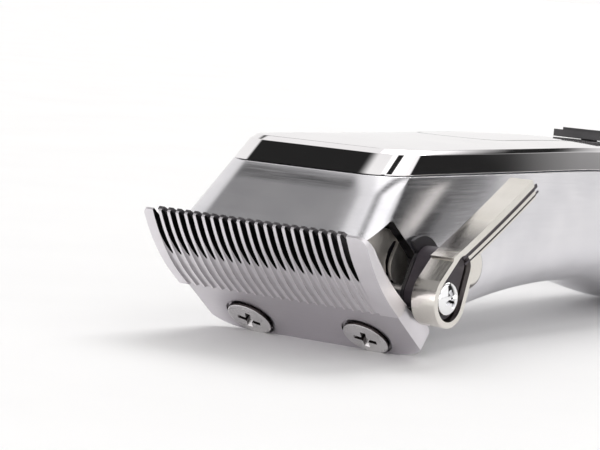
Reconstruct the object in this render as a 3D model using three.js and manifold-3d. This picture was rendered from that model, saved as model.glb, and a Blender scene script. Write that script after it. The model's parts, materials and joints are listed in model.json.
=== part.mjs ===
// Cordless hair clipper with a taper lever, as separate closed solids.
// Millimetres. X is the width (+X is the lever side), +Y runs to the tail, +Z is up to the lid.
// Inside the clipper group the origin is midway between the two blade screws, on the
// blade's outer face. The group is then shifted so that the row's origin is the middle
// of the flat foot under the tail.
import * as THREE from "three";
import { mergeVertices } from "three/addons/utils/BufferGeometryUtils.js";
import Module from "manifold-3d";

const wasm = await Module();
wasm.setup();

// ---------- driving dimensions ----------
const gap = 0.3;

// body
const halfWidth = 17.5;
const waistDepth = 0.9;
const waistStart = 30;
const waistEnd = 140;
const noseFlare = 2.4;
const flareDepth = 12;
const flareEnd = 45;
const shoulder = 0.35;
const partingHeight = 26.5;
const spineStart = 50;
const spineLength = 90;
const spineDrop = 8;
const bellyFront = -1;
const bellyRise = 6.6;
const bellyRiseStart = 4;
const bellyRiseEnd = 60;
const footStart = 66;
const footEnd = 118;
const footHeight = -2.8;
const bottomRadius = 9;
const frontAtParting = -5;
const frontSlope = 8.2 / 8.4;
const lidFrontSlope = 4.8 / 4.1;
const frontRadius = 7;
const tailRadius = 13;
const tailEnd = 141;
const capJoint = 121;
const wall = 1.6;
const capWall = 2.4;
const frameHalf = 15.5;
const frameEnd = 47;
const lidHeight = 4.1;
const lidCrown = 0.9;
const lidBandHeight = 3.4;
const lidBandInset = 0.4;
const lidRimInset = 1.1;
const footMiddle = 126;
const lightPlace = 108;

// blade set
const bladeTilt = THREE.MathUtils.degToRad(38.5);
const bladeLeft = 21.8;
const bladeRight = 22.9;
const baseHalf = 21.7;
const toothShift = -0.3;
const bladeThickness = 3;
const tipReach = 25.2;
const toothPitch = 1.8;
const bladeGaps = 22;
const cutterTeeth = 21;
const cutterRest = -0.8;
const gapRoot = 17.2;
const screwSpacing = 23.9;
const screwHeadRadius = 4.05;
const nosePlane = -7;
const lipPlane = -5.4;
const lipStart = 17;

// power
const cellRadius = 8.5;
const cellFront = 56.5;
const cellHeight = 16.4;
const switchMiddle = 85;
const switchTravel = 4;
const stemHalfLength = 1.2;
const switchSlotHalf = switchTravel / 2 + stemHalfLength + 0.4;
const inletHeight = 7;

// drive
const motorHeight = 17.5;
const motorRadius = 10;
const motorFront = 13;
const motorBack = 45;
const eccentricOffset = 1.2;

// taper lever
const pivot = { y: -1.2, z: 8.2 };
const ringOuter = 28;
const ringInner = 23.6;
const ringLow = { y: -0.8, z: 7.95, r: 4.5 };
const ringHigh = { y: 2.5, z: 13.0, r: 3.0 };
const armLength = 23.2;
const armThickness = 3.2;
const armRise = THREE.MathUtils.degToRad(28.5);
const armBow = 0.4;
const heelPlace = { y: 8, z: 12.6 };
const heelRadius = 3.9;
const heelThickness = 2;
const bossInner = 20.1;
const bossOuter = 20.7;
const camThrow = 2.0;
const camSwing = THREE.MathUtils.degToRad(27.5);

// ---------- small helpers ----------
const deg = THREE.MathUtils.degToRad;
const lerp = THREE.MathUtils.lerp;
const clamp01 = (t) => THREE.MathUtils.clamp(t, 0, 1);
const alongX = new THREE.Matrix4().makeBasis(
  new THREE.Vector3(0, 1, 0),
  new THREE.Vector3(0, 0, 1),
  new THREE.Vector3(1, 0, 0),
);
const alongBlade = new THREE.Matrix4().makeRotationX(Math.PI - bladeTilt);

function toSolid(geometry) {
  const bare = geometry.clone();
  bare.deleteAttribute("normal");
  bare.deleteAttribute("uv");
  const merged = mergeVertices(bare, 1e-4);
  return new wasm.Manifold(new wasm.Mesh({
    numProp: 3,
    vertProperties: new Float32Array(merged.attributes.position.array),
    triVerts: new Uint32Array(merged.index.array),
  }));
}

function toGeometry(solid) {
  const mesh = solid.getMesh();
  const geometry = new THREE.BufferGeometry();
  geometry.setAttribute("position", new THREE.BufferAttribute(mesh.vertProperties, mesh.numProp));
  geometry.setIndex(new THREE.BufferAttribute(mesh.triVerts, 1));
  geometry.computeVertexNormals();
  return geometry;
}

function cut(body, ...tools) {
  const solid = tools.reduce((left, tool) => left.subtract(toSolid(tool)), toSolid(body));
  return toGeometry(solid);
}

function join(...parts) {
  const solid = parts.slice(1).reduce((sum, part) => sum.add(toSolid(part)), toSolid(parts[0]));
  return toGeometry(solid);
}

function common(first, ...others) {
  const solid = others.reduce((left, other) => left.intersect(toSolid(other)), toSolid(first));
  return toGeometry(solid);
}

// box from its lowest and highest corner
function box(low, high) {
  const size = high.map((value, axis) => value - low[axis]);
  return new THREE.BoxGeometry(...size).translate(
    low[0] + size[0] / 2,
    low[1] + size[1] / 2,
    low[2] + size[2] / 2,
  );
}

function polygon(points) {
  return new THREE.Shape(points.map(([a, b]) => new THREE.Vector2(a, b)));
}

// side outline (y, z) given a thickness from x0 to x1
function sidePlate(shape, x0, x1, curveSegments = 10) {
  const options = { depth: x1 - x0, bevelEnabled: false, curveSegments };
  return new THREE.ExtrudeGeometry(shape, options).applyMatrix4(alongX).translate(x0, 0, 0);
}

// plan outline given a thickness from z0 to z1
function planPlate(shape, z0, z1, curveSegments = 10) {
  const options = { depth: z1 - z0, bevelEnabled: false, curveSegments };
  return new THREE.ExtrudeGeometry(shape, options).translate(0, 0, z0);
}

function rodX(radius, x0, x1, y, z, segments = 24) {
  return new THREE.CylinderGeometry(radius, radius, x1 - x0, segments)
    .rotateZ(Math.PI / 2)
    .translate((x0 + x1) / 2, y, z);
}

function rodY(radius, y0, y1, x, z, segments = 24) {
  return new THREE.CylinderGeometry(radius, radius, y1 - y0, segments)
    .translate(x, (y0 + y1) / 2, z);
}

function rodZ(radius, z0, z1, x, y, segments = 24) {
  return new THREE.CylinderGeometry(radius, radius, z1 - z0, segments)
    .rotateX(Math.PI / 2)
    .translate(x, y, (z0 + z1) / 2);
}

// outline around two circles in the side view
function twoCircles(a, b, offset = 0) {
  const angle = Math.atan2(b.z - a.z, b.y - a.y);
  const distance = Math.hypot(b.z - a.z, b.y - a.y);
  const spread = Math.acos((a.r - b.r) / distance);
  const shape = new THREE.Shape();
  shape.absarc(a.y, a.z, a.r + offset, angle + spread, angle - spread + 2 * Math.PI, false);
  shape.absarc(b.y, b.z, b.r + offset, angle - spread, angle + spread, false);
  return shape;
}

function mesh(name, geometry, material) {
  const node = new THREE.Mesh(geometry, material);
  node.name = name;
  return node;
}

// ---------- materials ----------
const finish = (color, roughness, metalness) =>
  new THREE.MeshStandardMaterial({ color, roughness, metalness });
const polished = () => finish(0xe2dfe2, 0.08, 1);
const brushed = () => finish(0xc4c0c6, 0.28, 1);
const satinSteel = () => finish(0xbdb8be, 0.38, 1);
const darkSteel = () => finish(0x6d6a6c, 0.35, 1);
const nickel = () => finish(0xcfc8bd, 0.25, 1);
const blackPlastic = () => finish(0x161417, 0.45, 0);
const plumPlastic = () => finish(0x4b434b, 0.5, 0);
const whitePlastic = () => finish(0xd8d8d4, 0.5, 0);
const brass = () => finish(0xb8924a, 0.35, 1);
const copper = () => finish(0xa9633c, 0.4, 1);
const greenBoard = () => finish(0x1d5a35, 0.6, 0);
const cellWrap = () => finish(0x2e5b8f, 0.5, 0);

// ---------- body surfaces ----------
function smoothstep(start, end, y) {
  const t = clamp01((y - start) / (end - start));
  return t * t * (3 - 2 * t);
}

function halfWidthAt(y) {
  const t = clamp01((y - waistStart) / (waistEnd - waistStart));
  return halfWidth - waistDepth * Math.sin(Math.PI * t) ** 2;
}

function partingAt(y) {
  return partingHeight - spineDrop * clamp01((y - spineStart) / spineLength) ** 2;
}

function bellyAt(y) {
  const rise = clamp01((y - bellyRiseStart) / (bellyRiseEnd - bellyRiseStart));
  const high = bellyFront + bellyRise;
  const dip = (high - footHeight) * smoothstep(footStart, footEnd, y);
  return bellyFront + bellyRise * Math.sin(Math.PI / 2 * rise) - dip;
}

// plan outline of the body, counter-clockwise from the middle of the front
function outline(inset, frontY) {
  const cornerSteps = 6;
  const sideSteps = 20;
  const front = Math.max(frontRadius - inset, 0.6);
  const tail = Math.max(tailRadius - inset, 0.6);
  const end = tailEnd - inset;
  const half = [[0, frontY]];
  for (let step = 0; step <= cornerSteps; step += 1) {
    const angle = deg(-90 + 90 * step / cornerSteps);
    const centre = halfWidthAt(frontY + front) - inset - front;
    half.push([centre + front * Math.cos(angle), frontY + front + front * Math.sin(angle)]);
  }
  for (let step = 1; step < sideSteps; step += 1) {
    const y = lerp(frontY + front, end - tail, step / sideSteps);
    half.push([halfWidthAt(y) - inset, y]);
  }
  for (let step = 0; step <= cornerSteps; step += 1) {
    const angle = deg(90 * step / cornerSteps);
    const centre = halfWidthAt(end - tail) - inset - tail;
    half.push([centre + tail * Math.cos(angle), end - tail + tail * Math.sin(angle)]);
  }
  half.push([0, end]);
  const mirrored = half.slice(1, -1).reverse().map(([x, y]) => [-x, y]);
  return [...half, ...mirrored];
}

// closed solid through stacked rings of equal length, symmetric about X = 0
function loft(rings) {
  const count = rings[0].length;
  const index = [];
  const triangle = (a, b, c) => {
    if (a !== b && b !== c && c !== a) {
      index.push(a, b, c);
    }
  };
  for (let level = 0; level < rings.length - 1; level += 1) {
    for (let i = 0; i < count; i += 1) {
      const a = level * count + i;
      const b = level * count + (i + 1) % count;
      triangle(a, b, b + count);
      triangle(a, b + count, a + count);
    }
  }
  const top = (rings.length - 1) * count;
  for (let i = 0; i < count / 2; i += 1) {
    const pair = [i, i + 1, count - i - 1, (count - i) % count];
    triangle(pair[2], pair[1], pair[0]);
    triangle(pair[3], pair[2], pair[0]);
    triangle(top + pair[0], top + pair[1], top + pair[2]);
    triangle(top + pair[0], top + pair[2], top + pair[3]);
  }
  const geometry = new THREE.BufferGeometry();
  geometry.setAttribute("position", new THREE.Float32BufferAttribute(rings.flat(2), 3));
  geometry.setIndex(index);
  return geometry;
}

// the nose widens from the parting line down to the blade; the widening fades towards the tail
function flared([x, y, z]) {
  const depth = clamp01((partingAt(y) - z) / flareDepth);
  const widening = noseFlare * depth * (1 - smoothstep(0, flareEnd, y));
  return [x * (1 + widening / halfWidth), y, z];
}

// rings of the lower body: rounded along the bottom edge, front face slanted
function tubRings(inset) {
  const rings = [];
  const radius = bottomRadius - inset;
  const noseHeight = partingHeight - bellyFront;
  const frontAt = (height) =>
    frontAtParting - (noseHeight - height) * frontSlope + inset * Math.hypot(1, frontSlope);
  for (let step = 0; step <= 6; step += 1) {
    const angle = deg(15 * step);
    const edge = inset + radius * (1 - Math.sin(angle));
    const height = inset + radius * (1 - Math.cos(angle));
    rings.push(outline(edge, frontAt(height)).map(([x, y]) => [x, y, bellyAt(y) + height]));
  }
  for (const part of [shoulder, 1]) {
    const ring = outline(inset, frontAt(lerp(bottomRadius, noseHeight, part)));
    rings.push(ring.map(([x, y]) => [x, y, lerp(bellyAt(y) + bottomRadius, partingAt(y), part)]));
  }
  return rings.map((ring) => ring.map(flared));
}

// rings of the lid: drafted band, bevel, then a crowned top
function lidRing(height, inset, rise = 0) {
  const setback = Math.max(inset - lidBandInset, 0);
  const frontY = frontAtParting + height * lidFrontSlope + setback;
  return outline(inset, frontY).map(([x, y]) => [x, y, partingAt(y) + height + rise]);
}

function lidRings() {
  const crown = [4, 7.5, 11.5, 15].map((inset) => {
    const reach = (halfWidth - inset) / (halfWidth - lidRimInset);
    return lidRing(lidHeight, inset, lidCrown * (1 - reach ** 2));
  });
  return [
    lidRing(gap / 2, 0),
    lidRing(lidBandHeight, lidBandInset),
    lidRing(lidHeight, lidRimInset),
    ...crown,
  ];
}

// moves a piece drawn flat about the origin onto the lid's top, at the middle of the switch's travel
function ontoLid(geometry) {
  const slope = -2 * spineDrop * (switchMiddle - spineStart) / spineLength ** 2;
  const top = partingAt(switchMiddle) + lidHeight + lidCrown;
  return geometry.rotateX(Math.atan(slope)).translate(0, switchMiddle, top);
}

const beforeCap = box([-60, -60, -60], [60, capJoint - gap, 60]);
const behindJoint = box([-60, capJoint, -60], [60, 200, 60]);

// slab of space in the blade's own frame: u across, v to the tips, n out of the blade
function bladeSlab(low, high) {
  return box(low, high).applyMatrix4(alongBlade);
}

// the housing ends behind the cutter, and its front lip reaches closer to the cutter's teeth
const noseCuts = [
  bladeSlab([-60, -60, nosePlane], [60, lipStart, 60]),
  bladeSlab([-60, lipStart - 0.01, lipPlane], [60, 60, 60]),
];

// V-shaped side opening behind the blade; margin shrinks it
function noseNotch(x0, x1, margin) {
  return sidePlate(polygon([
    [-11.7 + margin, 16.5 - margin],
    [-5.3, 19.9 - 1.4 * margin],
    [1.1 - margin, 13.6 - 0.6 * margin],
    [3.5 - margin, 4.2],
    [6.4 - margin, 1.2],
    [8.4 - margin, -4],
    [-30, -4],
    [-30, 10],
  ]), x0, x1);
}

// ---------- shell ----------
const screwPosts = [52.8, 114];

function lowerHousing() {
  const cavity = loft([
    ...tubRings(wall),
    outline(wall, frontAtParting + 2).map(([x, y]) => [x, y, partingAt(y) + 3]),
  ]);
  const posts = screwPosts.map((y) => rodZ(3.2, bellyAt(y) + 0.8, bellyAt(y) + 7, 0, y));
  const bores = screwPosts.flatMap((y) => [
    rodZ(1.5, bellyAt(y) - 3, bellyAt(y) + 9, 0, y),
    rodZ(2.9, bellyAt(y) - 3, bellyAt(y) + 1.6, 0, y),
  ]);
  const shell = common(cut(loft(tubRings(0)), cavity), beforeCap);
  const withPosts = join(shell, ...posts);
  return cut(withPosts, ...noseCuts, noseNotch(13, 30, 0), noseNotch(-30, -13, 0), ...bores);
}

function lid() {
  const under = loft([
    outline(wall, frontAtParting + 1.6).map(([x, y]) => [x, y, partingAt(y) - 2]),
    outline(wall + 0.5, frontAtParting + 5).map(([x, y]) => [x, y, partingAt(y) + 2.7]),
  ]);
  const switchSlot = ontoLid(box([-1.6, -switchSlotHalf, -8], [1.6, switchSlotHalf, 4]));
  const lightHole = rodZ(1.5, 10, 40, 0, lightPlace);
  return cut(common(loft(lidRings()), beforeCap), under, switchSlot, lightHole);
}

function rearCap() {
  const whole = loft([...tubRings(0), ...lidRings()]);
  const hollow = loft([
    ...tubRings(capWall),
    outline(capWall + 0.2, frontAtParting + 5).map(([x, y]) => [x, y, partingAt(y) + 2.2]),
  ]);
  const socketHole = rodY(4.3, 130, 150, 0, inletHeight);
  return cut(common(whole, behindJoint), common(hollow, box([-60, 100, -60], [60, 137, 60])), socketHole);
}

// ---------- inner frame ----------
function chassis() {
  const envelope = loft(tubRings(wall + 0.4));
  const seat = bladeSlab([-frameHalf, -6, -8.4], [frameHalf, 2.2, -bladeThickness - gap]);
  const floor = box([-frameHalf, 6, -6], [frameHalf, frameEnd, 5.2]);
  const cheeks = [-1, 1].map((side) => {
    const edges = [side * 14.2, side * frameHalf].sort((a, b) => a - b);
    return box([edges[0], -20, -6], [edges[1], frameEnd, 25.5]);
  });
  const ribs = [[14.5, 17.5], [40, 43]].map(([start, end]) =>
    box([-frameHalf, start, -2], [frameHalf, end, motorHeight]));
  const motorSpace = rodY(motorRadius + gap, -30, 60, 0, motorHeight, 40);
  const screwHoles = [-1, 1].map((side) =>
    new THREE.CylinderGeometry(1.9, 1.9, 10, 20)
      .rotateX(Math.PI / 2)
      .translate(side * screwSpacing / 2, 0, -6)
      .applyMatrix4(alongBlade));
  const behindBlade = bladeSlab([-60, -60, -bladeThickness - gap], [60, 60, 60]);
  const frontCheekCut = bladeSlab([-60, 2.2, nosePlane - 0.4], [60, 60, 60]);
  return cut(
    common(join(seat, floor, ...cheeks, ...ribs), envelope),
    motorSpace,
    behindBlade,
    frontCheekCut,
    noseNotch(2.2, 30, 1),
    noseNotch(-30, -13, 1),
    rodX(2.8, 10, 30, pivot.y, pivot.z),
    ...screwHoles,
  );
}

// one bent leg of the cutter's tension spring, an S in side view
function tensionSpring(x0, x1) {
  const thickness = 0.7;
  const spine = new THREE.CatmullRomCurve3([
    new THREE.Vector3(3.4, 17.6, 0),
    new THREE.Vector3(4.6, 15.6, 0),
    new THREE.Vector3(3.4, 13.1, 0),
    new THREE.Vector3(3.1, 11.2, 0),
    new THREE.Vector3(4.3, 9, 0),
    new THREE.Vector3(7.6, 6.4, 0),
  ]);
  const steps = 24;
  const side = (sign) => Array.from({ length: steps + 1 }, (_, step) => {
    const point = spine.getPoint(step / steps);
    const tangent = spine.getTangent(step / steps);
    return [point.x - sign * tangent.y * thickness / 2, point.y + sign * tangent.x * thickness / 2];
  });
  return sidePlate(polygon([...side(1), ...side(-1).reverse()]), x0, x1);
}

// bright side plate in the opening, with a curved leaf standing proud of its rear edge
function sideLeaf() {
  const plate = polygon([
    [-9.3, 14.4],
    [-9.3, 16.8],
    [-5.2, 18.6],
    [2.5, 17.4],
    [2.5, 16.3],
    [-0.9, 16.1],
    [-2.3, 14.7],
    [-2.9, 12.8],
    [-2.4, 10.8],
    [-1.1, 9.2],
    [1.2, 7.4],
    [2.2, 5.2],
  ]);
  const leaf = new THREE.Shape();
  leaf.moveTo(0.2, 16.9);
  leaf.bezierCurveTo(-0.4, 15, -2.6, 13.4, -1.9, 11.2);
  leaf.quadraticCurveTo(-1.2, 9.2, 1.3, 7.3);
  leaf.lineTo(5.8, 7.9);
  leaf.quadraticCurveTo(5.6, 12.2, 0.2, 16.9);
  return cut(
    join(sidePlate(plate, 15.9, 16.45), sidePlate(leaf, 16.4, 17)),
    bladeSlab([-60, -60, lipPlane], [60, 60, 60]),
    rodX(1.65, 15, 18, pivot.y, pivot.z),
  );
}

// thin black disc on the housing's side, with the eye that carries the lever's shaft
function leverBoss() {
  const disc = cut(rodX(5.5, bossInner, bossOuter, 1.35, 11.85, 40), noseNotch(17, 22, -gap));
  const reach = twoCircles({ y: 2.2, z: 11.4, r: 3.7 }, { ...pivot, r: 2.15 });
  const arm = sidePlate(reach, bossInner, bossOuter, 24);
  return cut(join(disc, arm), rodX(1.55, 10, 30, pivot.y, pivot.z));
}

// ---------- blade set, in the blade's own frame ----------
function fixedBlade() {
  const plan = new THREE.Shape();
  plan.moveTo(-15, -4.5);
  plan.lineTo(14.6, -4.5);
  plan.absellipse(14.6, 1.2, bladeRight - 14.6, 5.7, -Math.PI / 2, 0, false, 0);
  plan.lineTo(bladeRight, tipReach - 1.8);
  plan.absarc(bladeRight - 1.8, tipReach - 1.8, 1.8, 0, Math.PI / 2, false);
  plan.lineTo(-bladeLeft + 0.7, tipReach);
  plan.absarc(-bladeLeft + 0.7, tipReach - 0.7, 0.7, Math.PI / 2, Math.PI, false);
  plan.lineTo(-bladeLeft, 1.2);
  plan.absellipse(-15, 1.2, bladeLeft - 15, 5.7, Math.PI, 1.5 * Math.PI, false, 0);
  const plate = planPlate(plan, -bladeThickness, 1, 8);

  // outer side profile: base, step up to the toothed part, convex run down to the tips
  const step = 0.8;
  const bendStart = 11;
  const tipFace = -2.6;
  const bendRadius = ((tipReach - bendStart) ** 2 + (step - tipFace) ** 2) / (2 * (step - tipFace));
  const profile = new THREE.Shape();
  profile.moveTo(-6, -bladeThickness);
  profile.lineTo(2.5, -bladeThickness);
  profile.bezierCurveTo(6, -2.4, 7, -1.8, 11, -1.8);
  profile.bezierCurveTo(15.5, -1.8, 18.5, -2.5, 22, -bladeThickness);
  profile.lineTo(tipReach, -bladeThickness);
  for (let part = 10; part >= 0; part -= 1) {
    const v = lerp(bendStart, tipReach, part / 10);
    const drop = bendRadius - Math.sqrt(bendRadius ** 2 - (v - bendStart) ** 2);
    profile.lineTo(v, step - drop);
  }
  profile.lineTo(8.7, step);
  profile.lineTo(8.3, 0);
  profile.lineTo(-6, 0);
  const sideProfile = sidePlate(profile, -30, 30);

  // the base's ends lean outwards towards the inner face; the toothed part's are square
  const baseSection = polygon([
    [-bladeLeft - 0.2, -bladeThickness],
    [bladeRight, -bladeThickness],
    [baseHalf - 0.4, 1],
    [-baseHalf + 0.9, 1],
  ]);
  const base = planPlate(baseSection, -8.5, 30).rotateX(Math.PI / 2);
  const ends = join(base, box([-30, 8.4, -5], [30, 30, 3]));

  const cuts = [];
  for (let i = 0; i < bladeGaps; i += 1) {
    const u = toothShift + (i - (bladeGaps - 1) / 2) * toothPitch;
    const slot = new THREE.Shape();
    slot.moveTo(u - 0.46, tipReach + 1);
    slot.lineTo(u - 0.34, gapRoot + 0.34);
    slot.absarc(u, gapRoot + 0.34, 0.34, Math.PI, 2 * Math.PI, false);
    slot.lineTo(u + 0.46, tipReach + 1);
    cuts.push(planPlate(slot, -bladeThickness - 1, 2, 3));
    const groove = polygon([[8.9, 1.5], [8.9, step + 0.02], [gapRoot + 0.6, -0.6], [gapRoot + 0.6, 1.5]]);
    cuts.push(sidePlate(groove, u - 0.3, u + 0.3));
  }
  for (const side of [-1, 1]) {
    cuts.push(rodZ(2.0, -5, 3, side * screwSpacing / 2, 0));
    cuts.push(rodZ(screwHeadRadius + 0.5, -0.4, 0.6, side * screwSpacing / 2, 0, 32));
  }
  return cut(common(plate, sideProfile, ends), ...cuts);
}

function crossRecess(size, width, depth, top) {
  return [0, 1].map((turn) =>
    box([-size, -width / 2, top - depth], [size, width / 2, top + 1]).rotateZ(turn * Math.PI / 2));
}

function bladeScrew() {
  const r = screwHeadRadius;
  const head = new THREE.LatheGeometry([
    new THREE.Vector2(0, -7.4),
    new THREE.Vector2(1.6, -7.4),
    new THREE.Vector2(1.6, -0.1),
    new THREE.Vector2(r, -0.1),
    new THREE.Vector2(r, 0.4),
    new THREE.Vector2(r - 0.35, 0.7),
    new THREE.Vector2(0, 0.75),
  ], 36).rotateX(Math.PI / 2);
  return cut(head, ...crossRecess(2, 0.9, 0.7, 0.75));
}

function cutterBlade() {
  const half = (cutterTeeth * toothPitch) / 2 - 0.2;
  const profile = polygon([
    [10.8, -3.3],
    [24.6, -3.3],
    [24.6, -3.9],
    [20, -4.9],
    [10.8, -4.9],
  ]);
  const plate = sidePlate(profile, -half, half);
  const slots = [];
  for (let i = 0; i < cutterTeeth - 1; i += 1) {
    const u = (i - (cutterTeeth - 2) / 2) * toothPitch;
    slots.push(box([u - 0.42, 19, -6], [u + 0.42, 26, 0]));
  }
  return cut(plate, ...slots);
}

// plastic block on the cutter, with two prongs that stand either side of the drive pin
function cutterYoke() {
  const block = box([-9, 11.2, -7.2], [9, 13.4, -5.2]);
  const prongs = [-1, 1].map((side) => {
    const edges = [side * 3.7, side * 5.4].sort((a, b) => a - b);
    const shape = polygon([[13.4, -6.5], [12.4, -19], [8.6, -18.4], [11.2, -6.5]]);
    return sidePlate(shape, edges[0], edges[1]);
  });
  return join(block, ...prongs);
}

// frame that carries the cutter and is pushed along the blade by the lever's cam
function cutterCarriage() {
  const bar = box([-13.6, 5.2, -6.4], [13.6, 8.9, -5.2]);
  const arms = [box([-13.6, 8.8, -6.4], [-11.4, 14, -5.2]), box([11.4, 8.8, -6.4], [13.6, 14, -5.2])];
  const ear = box([9.9, 4.7, -8.9], [12.4, 9.3, -5.2]);
  const pinSlot = box([9, 5.86, -10], [12.4 + 2, 8.06, -6.3]);
  const camSpace = rodX(2.7, 12.5, 16, 6.04, -5.67);
  const camTravel = rodX(2.7, 12.5, 16, 7.9, -5.67);
  return cut(join(bar, ...arms, ear), pinSlot, camSpace, camTravel);
}

// ---------- taper lever ----------
function leverArm() {
  const along = [Math.cos(armRise), Math.sin(armRise)];
  const across = [-Math.sin(armRise), Math.cos(armRise)];
  const root = [ringHigh.y + across[0] * ringHigh.r, ringHigh.z + across[1] * ringHigh.r];
  const at = (distance, offset) => [
    root[0] + along[0] * distance + across[0] * offset,
    root[1] + along[1] * distance + across[1] * offset,
  ];
  const middle = armLength / 2;
  const strip = new THREE.Shape();
  strip.moveTo(...at(-2, -armThickness));
  strip.quadraticCurveTo(...at(middle, -armThickness - armBow), ...at(armLength, -armThickness));
  strip.lineTo(...at(armLength, 0));
  strip.quadraticCurveTo(...at(middle, -armBow), ...at(-2, 0));
  const armBlank = sidePlate(strip, ringInner, ringOuter, 12);
  const ring = cut(
    sidePlate(twoCircles(ringLow, ringHigh), ringInner, ringOuter, 28),
    sidePlate(twoCircles(ringLow, ringHigh, -1), ringInner - 1, ringOuter + 1, 28),
  );
  const inside = sidePlate(twoCircles(ringLow, ringHigh, -1), ringInner - 1, ringOuter + 1, 28);
  const heel = new THREE.LatheGeometry([
    new THREE.Vector2(0, 0),
    new THREE.Vector2(heelRadius, 0),
    new THREE.Vector2(heelRadius, heelThickness - 1.4),
    new THREE.Vector2(heelRadius - 0.2, heelThickness - 0.8),
    new THREE.Vector2(heelRadius - 0.7, heelThickness - 0.25),
    new THREE.Vector2(heelRadius - 1.4, heelThickness),
    new THREE.Vector2(0, heelThickness),
  ], 32).rotateZ(-Math.PI / 2).translate(ringInner + 0.6, heelPlace.y, heelPlace.z);
  return cut(join(ring, armBlank, heel), inside);
}

function leverInsert() {
  const plug = sidePlate(twoCircles(ringLow, ringHigh, -1 - gap), ringInner + 0.6, 27, 24);
  return cut(plug, rodX(1.5, 20, 30, pivot.y, pivot.z));
}

function leverHub() {
  const high = { y: 2.2, z: 12.6, r: 3.2 };
  const hub = sidePlate(twoCircles(high, { ...pivot, r: 2.35 }), 20.9, ringInner + 0.3 - gap, 24);
  return cut(hub, rodX(1.55, 10, 30, pivot.y, pivot.z));
}

function leverShaft() {
  const lean = Math.PI / 2 - bladeTilt + camSwing;
  const pinY = pivot.y + camThrow * Math.cos(lean);
  const pinZ = pivot.z + camThrow * Math.sin(lean);
  return join(
    rodX(1.25, 14, 23.9, pivot.y, pivot.z),
    rodX(2.3, 12.7, 15.4, pivot.y, pivot.z, 30),
    rodX(0.75, 10.2, 13, pinY, pinZ, 16),
  );
}

function leverScrew() {
  const head = new THREE.LatheGeometry([
    new THREE.Vector2(0, -3.1),
    new THREE.Vector2(1.2, -3.1),
    new THREE.Vector2(1.2, 0),
    new THREE.Vector2(2.75, 0),
    new THREE.Vector2(2.7, 0.5),
    new THREE.Vector2(2.15, 1.05),
    new THREE.Vector2(1.2, 1.38),
    new THREE.Vector2(0, 1.45),
  ], 32).rotateX(Math.PI / 2);
  return cut(head, ...crossRecess(1.5, 0.7, 0.8, 1.4))
    .rotateY(Math.PI / 2)
    .translate(27.3, pivot.y, pivot.z);
}

// ---------- drive and power ----------
function motorCan() {
  const can = rodY(motorRadius, motorFront, motorBack, 0, motorHeight, 40);
  const inside = rodY(9, motorFront + 1.5, motorBack + 1, 0, motorHeight, 40);
  return cut(can, inside, rodY(1.9, 0, 60, 0, motorHeight));
}

function motorEndBell() {
  const bell = rodY(motorRadius, motorBack + gap, 49, 0, motorHeight, 40);
  return cut(bell, rodY(1.9, 40, 60, 0, motorHeight));
}

function bearing(y0, y1) {
  return cut(rodY(1.6, y0, y1, 0, motorHeight), rodY(1.25, y0 - 1, y1 + 1, 0, motorHeight));
}

function rotorCore() {
  const core = rodY(8.2, 18, 40, 0, motorHeight, 36);
  const grooves = [0, 1, 2].map((i) =>
    box([-0.8, 17, 5], [0.8, 41, 9]).rotateY(i * 2 * Math.PI / 3).translate(0, 0, motorHeight));
  return cut(core, rodY(1.3, 10, 50, 0, motorHeight), ...grooves);
}

function eccentric() {
  const disc = rodY(4, 9, 12.2, 0, motorHeight, 32);
  const lift = Math.sqrt(eccentricOffset ** 2 - cutterRest ** 2);
  const pin = rodY(1, -1, 9.5, cutterRest, motorHeight + lift, 20);
  return cut(join(disc, pin), rodY(1.3, 9.8, 14, 0, motorHeight));
}

function housingScrew(y) {
  const seat = bellyAt(y) + 1.3;
  const screw = join(rodZ(2.5, seat - 1.2, seat, 0, y), rodZ(1.2, seat - 0.5, seat + 7, 0, y));
  const slots = [0, 1].map((turn) =>
    box([-1.5, -0.3, seat - 2], [1.5, 0.3, seat - 0.6]).rotateZ(turn * Math.PI / 2).translate(0, y, 0));
  return cut(screw, ...slots);
}

function chargeSocket() {
  const body = rodY(4, 131, tailEnd - 0.6, 0, inletHeight, 32);
  return cut(body, rodY(2.9, 133, 150, 0, inletHeight, 32));
}

// light pipe that fills the round hole in the lid
function chargeLight() {
  const lidTop = partingAt(lightPlace) + lidHeight + lidCrown;
  return rodZ(1.2, lidTop - 2.1, lidTop, 0, lightPlace);
}

function circuitBoard() {
  const board = box([-11, 92, 3.9], [11, 109, 5.5]);
  const chips = [box([-6, 96, 5.3], [-1, 101, 6.7]), box([2, 98, 5.3], [8, 103, 7])];
  return join(board, ...chips);
}

function batteryCell() {
  const cell = new THREE.LatheGeometry([
    new THREE.Vector2(0, 0),
    new THREE.Vector2(cellRadius - 0.4, 0),
    new THREE.Vector2(cellRadius, 0.6),
    new THREE.Vector2(cellRadius, 47.2),
    new THREE.Vector2(cellRadius - 0.6, 48),
    new THREE.Vector2(3, 48),
    new THREE.Vector2(3, 49),
    new THREE.Vector2(0, 49),
  ], 36);
  return cell.translate(0, cellFront, cellHeight);
}

// ribbed pad above the lid, drawn at the off end of its travel
function switchKnob() {
  const rest = switchTravel / 2;
  const pad = box([-5, rest - 5, 0.15], [5, rest + 5, 1.5]);
  const ribs = [-3, -1, 1, 3].map((y) => box([-4, rest + y - 0.4, 1.2], [4, rest + y + 0.4, 2]));
  const stem = box([-1.1, rest - stemHalfLength, -3.6], [1.1, rest + stemHalfLength, 0.5]);
  return ontoLid(join(pad, ...ribs, stem));
}

// switch body under the lid, with the pocket the pad's stem slides in
function switchBlock() {
  const body = box([-4, -5.2, -4.6], [4, 5.2, -2.5]);
  const pocket = box([-1.5, -switchSlotHalf, -4], [1.5, switchSlotHalf, 0]);
  return ontoLid(cut(body, pocket));
}

// ---------- assembly ----------
const clipper = new THREE.Group();
clipper.position.set(0, -footMiddle, -footHeight);

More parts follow.
